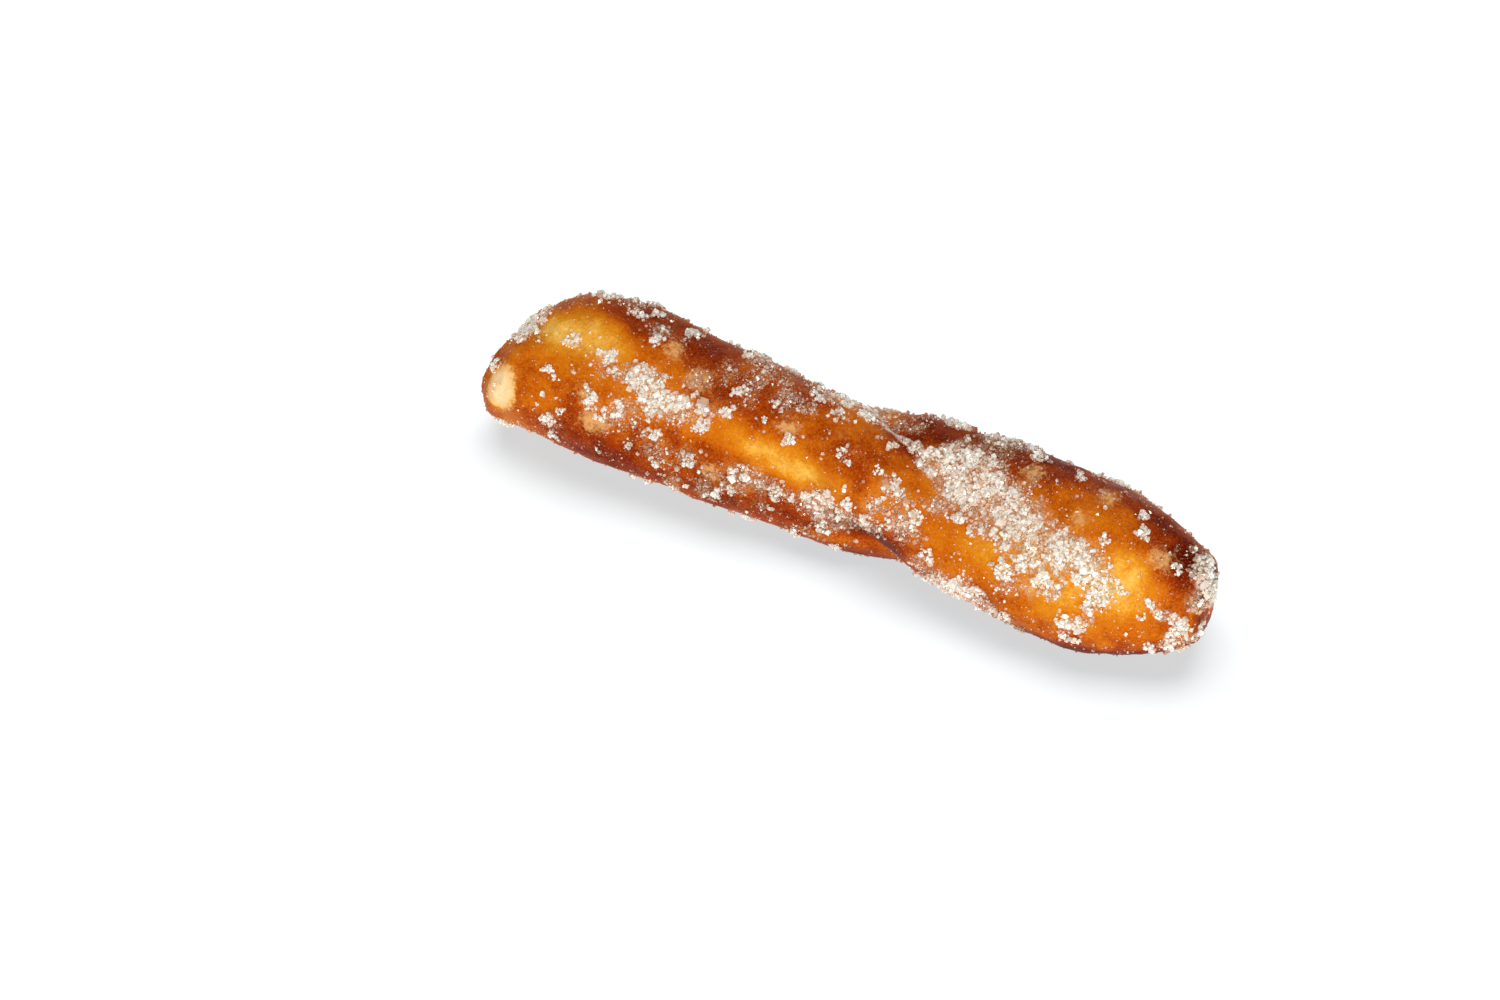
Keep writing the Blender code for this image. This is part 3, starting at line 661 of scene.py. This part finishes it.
# A speck has four faces
SPECK_CORNERS = np.array(((1, 1, 1), (-1, -1, 1), (-1, 1, -1), (1, -1, -1)), float) * SPECK_HALF_WIDTH
SPECK_FACES = [(0, 2, 1), (0, 1, 3), (0, 3, 2), (1, 2, 3)]


def random_turns(count, random):
    """Give random rotation matrices."""
    q = unit(random.normal(size=(count, 4)))
    w, x, y, z = q.T
    rows = [
        [1 - 2 * (y * y + z * z), 2 * (x * y - z * w), 2 * (x * z + y * w)],
        [2 * (x * y + z * w), 1 - 2 * (x * x + z * z), 2 * (y * z - x * w)],
        [2 * (x * z - y * w), 2 * (y * z + x * w), 1 - 2 * (x * x + y * y)],
    ]
    return np.moveaxis(np.array(rows), 2, 0)


def make_grains(name, places, sizes, tints, bake, corners, corner_faces, random):
    """Join one small crystal at each place into a mesh."""
    count = len(places)
    shape = corners[None] * random.uniform(*GRAIN_THINNING, (count, 1, 3))
    shape = shape * (1 + random.uniform(-CORNER_SHIFT, CORNER_SHIFT, (count, len(corners), 3)))
    shape = shape * (sizes / 2)[:, None, None]
    turned = np.einsum("nij,nkj->nki", random_turns(count, random), shape)
    points = turned + places[:, None, :]
    points[..., 2] = np.maximum(points[..., 2], LOWEST_CORNER)
    starts = range(0, count * len(corners), len(corners))
    faces = [tuple(corner + start for corner in face) for start in starts for face in corner_faces]
    # Painted glints: each face of a grain is made clearer or whiter at random, standing in for light
    # refracted and reflected by the crystal
    uneven = random.random((count, len(corner_faces))) - 0.5
    facet_whiteness_and_glints = np.clip(np.clip(tints, 0, 1)[:, None] + FACET_GLINT_SPREAD * uneven, 0, 1)
    attributes = [("tint", "FACE", facet_whiteness_and_glints), ("bake", "FACE", np.repeat(bake, len(corner_faces)))]
    return mesh_object(name, points.reshape(-1, 3), faces, attributes, smooth=False)


def make_sugar(surface, heaps, cad_box, random):
    """Scatter the sugar: grains piled in heaps, loose grains and fine dust."""
    amount = surface.sugar_amount()
    open_air = np.where(surface.points[..., 2] < CLEAR_OF_FLOOR, 0.0, 1.0)
    uneven = layered_noise(surface.points, THIN_NOISE)
    thin = open_air * np.clip(THIN_SHARE * amount + THIN_UNEVENNESS * uneven - THIN_FROM, *THIN_LIMITS)
    middle = np.array(cad_box).mean(axis=0) / MM
    half = (np.array(cad_box)[1] - np.array(cad_box)[0]) / 2 / MM

    def scatter(name, count, weight, size, spread, tint, corners, faces, piled=False):
        """Place one kind of grain by a weight, and build its mesh."""
        places, normals, here, bake = surface.draw_places(count, weight, random, amount, surface.bake)
        depth = np.zeros(count)
        if piled:
            depth = np.maximum(heap_depth(places, heaps), gathered(places, here))
            chance = GRAIN_CHANCE * np.clip(depth * GRAIN_CHANCE_RISE, 0, 1)
            kept = np.flatnonzero(random.random(count) < chance)[:HEAPED_GRAINS]
            places, normals, bake, depth = places[kept], normals[kept], bake[kept], depth[kept]
        sizes = size * np.exp(spread * random.normal(size=len(places)))
        lift = GRAIN_LIFT * sizes + HEAP_HEIGHT * depth * random.random(len(places))
        places = places + normals * lift[:, None]
        inside = np.all(np.abs(places - middle) < half + PROUD_OF_BOX, axis=1)
        places, sizes, bake, depth = places[inside], sizes[inside], bake[inside], depth[inside]
        tints = tint + TINT_SPREAD * random.random(len(places)) + TINT_IN_HEAPS * depth
        tints = tints - DARK_TINT * ease((bake - DARK_FROM) / DARK_FADE)
        return make_grains(name, places, sizes, tints, bake, corners, faces, random)

    heaped = scatter("sugar_heaps", GRAIN_TRIES, open_air, GRAIN_SIZE, GRAIN_SPREAD, HEAPED_TINT,
                     GRAIN_CORNERS, GRAIN_FACES, piled=True)
    loose = scatter("sugar_grains", LOOSE_GRAINS, thin, GRAIN_SIZE * LOOSE_SHARE, GRAIN_SPREAD, LOOSE_TINT,
                    GRAIN_CORNERS, GRAIN_FACES)
    dust = scatter("sugar_dust", DUST_GRAINS, thin, DUST_SIZE, DUST_SPREAD, LOOSE_TINT,
                   SPECK_CORNERS, SPECK_FACES)
    return heaped, loose, dust


class Nodes:
    """Small helper that adds and joins shader nodes."""

    def __init__(self, name):
        self.material = bpy.data.materials.new(name)
        self.material.use_nodes = True
        self.tree = self.material.node_tree
        self.shader = self.tree.nodes["Principled BSDF"]
        self.place = self.add("ShaderNodeTexCoord").outputs["Object"]

    def add(self, kind, **settings):
        """Add a node with some of its settings."""
        node = self.tree.nodes.new(kind)
        for key, value in settings.items():
            setattr(node, key, value)
        return node

    def join(self, source, target):
        """Link one socket to another."""
        self.tree.links.new(source, target)

    def steps(self, size):
        """Give the place on the stick in steps of a size in millimetres."""
        mapping = self.add("ShaderNodeMapping")
        mapping.inputs["Scale"].default_value = [1 / (size * MM)] * 3
        self.join(self.place, mapping.inputs["Vector"])
        return mapping.outputs["Vector"]

    def noise(self, size, detail=3.0, roughness=0.55):
        """Make noise whose features have a size in millimetres."""
        place = self.steps(size)
        noise = self.add("ShaderNodeTexNoise")
        noise.inputs["Scale"].default_value = 1.0
        noise.inputs["Detail"].default_value = detail
        noise.inputs["Roughness"].default_value = roughness
        self.join(place, noise.inputs["Vector"])
        return noise.outputs["Fac"]

    def uneven(self, size, reach, detail=3.0, roughness=0.55):
        """Make noise that runs from minus to plus a reach."""
        return self.spread(self.noise(size, detail, roughness), *NOISE_RANGE, -reach, reach)

    def cells(self, size):
        """Make round cells of a size in millimetres, and give the distance from each one's middle."""
        place = self.steps(size)
        cell = self.add("ShaderNodeTexVoronoi")
        cell.inputs["Scale"].default_value = 1.0
        self.join(place, cell.inputs["Vector"])
        return cell.outputs["Distance"]

    def attribute(self, name):
        """Read one of the mesh's own values."""
        return self.add("ShaderNodeAttribute", attribute_name=name).outputs["Fac"]

    def math(self, operation, first, second, clamp=False):
        """Join two values or sockets by an operation."""
        node = self.add("ShaderNodeMath", operation=operation, use_clamp=clamp)
        for socket, value in zip(node.inputs, (first, second)):
            if isinstance(value, (int, float)):
                socket.default_value = value
            else:
                self.join(value, socket)
        return node.outputs[0]

    def spread(self, value, low, high, out_low=0.0, out_high=1.0):
        """Stretch a value's range onto another, and keep it inside."""
        node = self.add("ShaderNodeMapRange")
        for socket, number in zip(node.inputs[1:5], (low, high, out_low, out_high)):
            socket.default_value = number
        self.join(value, node.inputs[0])
        return node.outputs[0]

    def ramp(self, value, stops):
        """Turn a value into a colour by stops."""
        node = self.add("ShaderNodeValToRGB")
        elements = node.color_ramp.elements
        while len(elements) < len(stops):
            elements.new(0.5)
        for element, (position, colour) in zip(elements, stops):
            element.position = position
            element.color = (*colour, 1)
        self.join(value, node.inputs["Fac"])
        return node.outputs["Color"]

    def mix(self, factor, first, second):
        """Mix two colours."""
        node = self.add("ShaderNodeMix", data_type="RGBA")
        self.join(factor, node.inputs[0])
        for socket, value in ((node.inputs[6], first), (node.inputs[7], second)):
            if isinstance(value, tuple):
                socket.default_value = (*value, 1)
            else:
                self.join(value, socket)
        return node.outputs[2]

    def bump(self, height, distance, strength, under=None):
        """Add fine relief, on top of other relief if there is any."""
        node = self.add("ShaderNodeBump")
        node.inputs["Distance"].default_value = distance * MM
        node.inputs["Strength"].default_value = strength
        self.join(height, node.inputs["Height"])
        if under is not None:
            self.join(under, node.inputs["Normal"])
        return node.outputs["Normal"]


# ---------------------------------------------------------------- materials
NOISE_RANGE = (0.3, 0.7)   # noise textures lie mostly between these
BAKED_COLOURS = (          # by how baked the crust is, and also by painted shade
    (0.00, (0.94, 0.65, 0.25)),
    (0.16, (0.86, 0.45, 0.06)),
    (0.34, (0.67, 0.222, 0.007)),
    (0.52, (0.56, 0.122, 0.002)),
    (0.68, (0.33, 0.038, 0.001)),
    (0.84, (0.17, 0.011, 0.001)),
    (1.00, (0.08, 0.003, 0.001)),
)
DOUGH = (0.95, 0.70, 0.40)
DOUGH_RIM = (0.84, 0.42, 0.09)
BLISTER = (0.72, 0.38, 0.13)
BED = (0.70, 0.50, 0.30)
GLAZE = (0.84, 0.74, 0.64)
FILM = (0.80, 0.43, 0.13)
FILM_SHARE = 0.4           # how much of the crust a film of fine sugar hides at most
SPECK = (0.66, 0.34, 0.08)
SPECK_SHARE = 0.35
# Painted shade inside the pores: its colour and how much it covers
PORE_SHADE = (0.12, 0.03, 0.008)
PORE_SHADE_SHARE = 0.6
BED_SHARE = 0.6
BLISTER_SHARE = 0.85
GLAZE_SHARE = 0.9
CRUST_ROUGHNESS = (0.36, 0.52)
CRUST_SPECULAR = 0.05
CRUST_SHINE = (1.0, 0.55, 0.2)
CLEAR_SUGAR = (0.70, 0.46, 0.26)
CLOUDY_SUGAR = (0.88, 0.74, 0.56)
WHITE_SUGAR = (1.0, 0.96, 0.84)
SUGAR_ROUGHNESS = (0.06, 0.22)
SUGAR_IOR = 1.5
SUGAR_SCATTER = 0.4
SUGAR_SCATTER_COLOUR = (1.0, 0.9, 0.75)
SUGAR_SCATTER_DEPTH = 0.6


def crust_material():
    """Baked crust: brown by baking and painted shade, with blisters, fine sugar, dough, packed sugar and pore
    shade.
    """
    n = Nodes("crust")
    blotches = n.uneven(2.4, 0.07, 4.0)
    grain = n.uneven(0.5, 0.08, 4.0, 0.65)
    value = n.math("ADD", n.math("ADD", n.attribute("bake"), blotches), grain, clamp=True)
    surface = n.ramp(value, BAKED_COLOURS)

    flakes = n.uneven(0.9, 0.5, 4.0, 0.7)
    blister = n.spread(n.math("ADD", n.attribute("blister"), flakes), 0.4, 1.0, 0.0, BLISTER_SHARE)
    surface = n.mix(blister, surface, BLISTER)

    # Painted shade: dark dots at the pores, standing in for the shade inside them
    pore_shade = n.spread(n.cells(1.6), 0.05, 0.09, 1.0, 0.0)
    surface = n.mix(n.math("MULTIPLY", pore_shade, PORE_SHADE_SHARE), surface, PORE_SHADE)

    # Fine sugar: a broken film that is thickest where sugar is, and specks elsewhere
    broken = n.uneven(0.55, 0.5, 5.0, 0.75)
    cloudy = n.uneven(2.2, 0.25)
    frost = n.math("ADD", n.math("ADD", n.attribute("frost"), broken), cloudy)
    thickness = n.spread(frost, 0.2, 1.05, 0.0, FILM_SHARE)
    film = n.math("MULTIPLY", thickness, n.spread(n.attribute("frost"), 0.08, 0.45))
    surface = n.mix(film, surface, FILM)
    fleck = n.spread(n.noise(0.22, 1.0), 0.61, 0.70, 0.0, SPECK_SHARE)
    surface = n.mix(fleck, surface, SPECK)

    crumb = n.uneven(0.9, 0.2, 4.0)
    dough = n.math("ADD", n.attribute("dough"), crumb)
    surface = n.mix(n.spread(dough, 0.2, 0.55), surface, DOUGH_RIM)
    surface = n.mix(n.spread(dough, 0.35, 1.2), surface, DOUGH)

    ragged = n.uneven(0.6, 0.3, 2.0)
    bed = n.spread(n.math("ADD", n.attribute("bed"), ragged), 0.35, 0.75)
    surface = n.mix(n.math("MULTIPLY", bed, BED_SHARE), surface, BED)

    streaks = n.uneven(1.2, 0.2)
    glaze = n.spread(n.math("ADD", n.attribute("glaze"), streaks), 0.25, 0.75, 0.0, GLAZE_SHARE)
    surface = n.mix(glaze, surface, GLAZE)
    n.join(surface, n.shader.inputs["Base Color"])

    n.join(n.spread(n.noise(3.0), *NOISE_RANGE, *CRUST_ROUGHNESS), n.shader.inputs["Roughness"])
    fine = n.bump(n.noise(0.35), 0.05, 0.6)
    pores = n.bump(n.noise(1.1, 4.0, 0.6), 0.14, 0.7, under=fine)
    grains = n.math("MULTIPLY", n.spread(n.cells(0.5), 0.0, 0.5, 1.0, 0.0), bed)
    n.join(n.bump(grains, 0.3, 1.0, under=pores), n.shader.inputs["Normal"])
    n.shader.inputs["Specular IOR Level"].default_value = CRUST_SPECULAR
    n.shader.inputs["Specular Tint"].default_value = (*CRUST_SHINE, 1)
    return n.material


def sugar_material():
    """Sugar crystals: half-clear grains that take some colour from the crust below, painted shade included,
    with painted glints.
    """
    n = Nodes("sugar")
    # The crust's colour shows through the clearer grains, painted shade included
    below = n.ramp(n.attribute("bake"), BAKED_COLOURS)
    tint = n.attribute("tint")
    own = n.ramp(tint, ((0.0, CLEAR_SUGAR), (0.5, CLOUDY_SUGAR), (1.0, WHITE_SUGAR)))
    colour = n.mix(n.spread(tint, 0.0, 1.0, 0.80, 0.05), own, below)
    n.join(colour, n.shader.inputs["Base Color"])
    n.join(n.spread(n.noise(0.5, 2.0), *NOISE_RANGE, *SUGAR_ROUGHNESS), n.shader.inputs["Roughness"])
    n.shader.inputs["IOR"].default_value = SUGAR_IOR
    n.shader.inputs["Specular IOR Level"].default_value = 1.0
    n.shader.inputs["Subsurface Weight"].default_value = SUGAR_SCATTER
    n.shader.inputs["Subsurface Radius"].default_value = SUGAR_SCATTER_COLOUR
    n.shader.inputs["Subsurface Scale"].default_value = SUGAR_SCATTER_DEPTH * MM
    return n.material


def wear(piece, material):
    """Give a piece its one material."""
    piece.data.materials.clear()
    piece.data.materials.append(material)


def make_floor():
    """Lay a plain floor that gives off a little light, so that it shows white."""
    bpy.ops.mesh.primitive_plane_add(size=FLOOR_SIDE, location=(0, 0, 0))
    floor = bpy.context.object
    floor.name = "floor"
    material = bpy.data.materials.new("floor")
    material.use_nodes = True
    shader = material.node_tree.nodes["Principled BSDF"]
    shader.inputs["Base Color"].default_value = (*FLOOR_COLOUR, 1)
    shader.inputs["Emission Color"].default_value = (*FLOOR_GLOW, 1)
    shader.inputs["Emission Strength"].default_value = FLOOR_GLOW_STRENGTH
    shader.inputs["Roughness"].default_value = FLOOR_ROUGHNESS
    shader.inputs["Specular IOR Level"].default_value = FLOOR_SPECULAR
    wear(floor, material)
    return floor


def direction(azimuth, elevation):
    """Point from the stick towards an azimuth and elevation, as the camera's are measured."""
    a, e = math.radians(azimuth), math.radians(elevation)
    return Vector((math.sin(a) * math.cos(e), -math.cos(a) * math.cos(e), math.sin(e)))


def add_light(name, azimuth, elevation, distance, size, power, lit):
    """Aim a square soft light at the stick, and let it light the objects of one collection."""
    light = bpy.data.lights.new(name, "AREA")
    light.size = size
    light.energy = power
    lamp = bpy.data.objects.new(name, light)
    bpy.context.scene.collection.objects.link(lamp)
    away = direction(azimuth, elevation)
    lamp.location = away * distance
    lamp.rotation_euler = away.to_track_quat("Z", "Y").to_euler()
    lamp.light_linking.receiver_collection = lit


def lit_group(name, members):
    """Collect the objects that a light is for."""
    group = bpy.data.collections.new(name)
    for member in members:
        group.objects.link(member)
    return group


def light_studio(floor, pieces):
    """Set plain soft studio light: some for the stick, and one light over the floor for its shadow."""
    on_stick = lit_group("lit_stick", pieces)
    on_floor = lit_group("lit_floor", [floor])
    world = bpy.data.worlds.new("studio")
    world.use_nodes = True
    world.node_tree.nodes["Background"].inputs["Color"].default_value = (1, 1, 1, 1)
    world.node_tree.nodes["Background"].inputs["Strength"].default_value = WORLD_STRENGTH
    bpy.context.scene.world = world
    for light in STICK_LIGHTS:
        add_light(*light, on_stick)
    add_light(*FLOOR_LIGHT, on_floor)
    bpy.context.scene.view_settings.view_transform = "Standard"


def add_camera():
    """Look at the stick as the photograph does."""
    data = bpy.data.cameras.new("camera")
    data.lens = LENS
    data.sensor_width = SENSOR
    camera = bpy.data.objects.new("camera", data)
    bpy.context.scene.collection.objects.link(camera)
    back = direction(CAMERA_AZIMUTH, CAMERA_ELEVATION)
    right = Vector((math.cos(math.radians(CAMERA_AZIMUTH)), math.sin(math.radians(CAMERA_AZIMUTH)), 0))
    up = back.cross(right)
    pixel = CAMERA_DISTANCE * SENSOR / LENS / PHOTO_SIZE[0]
    shown = Vector((-BOX_MIDDLE[0], -BOX_MIDDLE[1], -FLOOR)) * MM
    aim = shown - right * (STICK_PIXEL[0] - PHOTO_SIZE[0] / 2) * pixel
    aim = aim - up * (PHOTO_SIZE[1] / 2 - STICK_PIXEL[1]) * pixel
    camera.location = aim + back * CAMERA_DISTANCE
    camera.rotation_euler = back.to_track_quat("Z", "Y").to_euler()
    bpy.context.scene.camera = camera


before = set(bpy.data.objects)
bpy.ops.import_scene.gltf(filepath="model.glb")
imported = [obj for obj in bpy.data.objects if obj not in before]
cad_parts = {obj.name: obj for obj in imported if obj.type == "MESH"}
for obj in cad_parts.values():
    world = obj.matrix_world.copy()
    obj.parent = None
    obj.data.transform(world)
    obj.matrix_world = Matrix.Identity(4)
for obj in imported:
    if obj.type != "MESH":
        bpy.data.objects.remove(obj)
cad_box = [list(corner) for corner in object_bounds()]

random = np.random.default_rng(7)
surface = Surface()
heaps = find_heaps(surface, random)
crust = make_crust(surface, heaps)
sugar = make_sugar(surface, heaps, cad_box, random)
wear(crust, crust_material())
sweet = sugar_material()
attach(crust, "root")
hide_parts(NODE)
for piece in sugar:
    wear(piece, sweet)
    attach(piece, "root")

light_studio(make_floor(), [crust, *sugar])
add_camera()
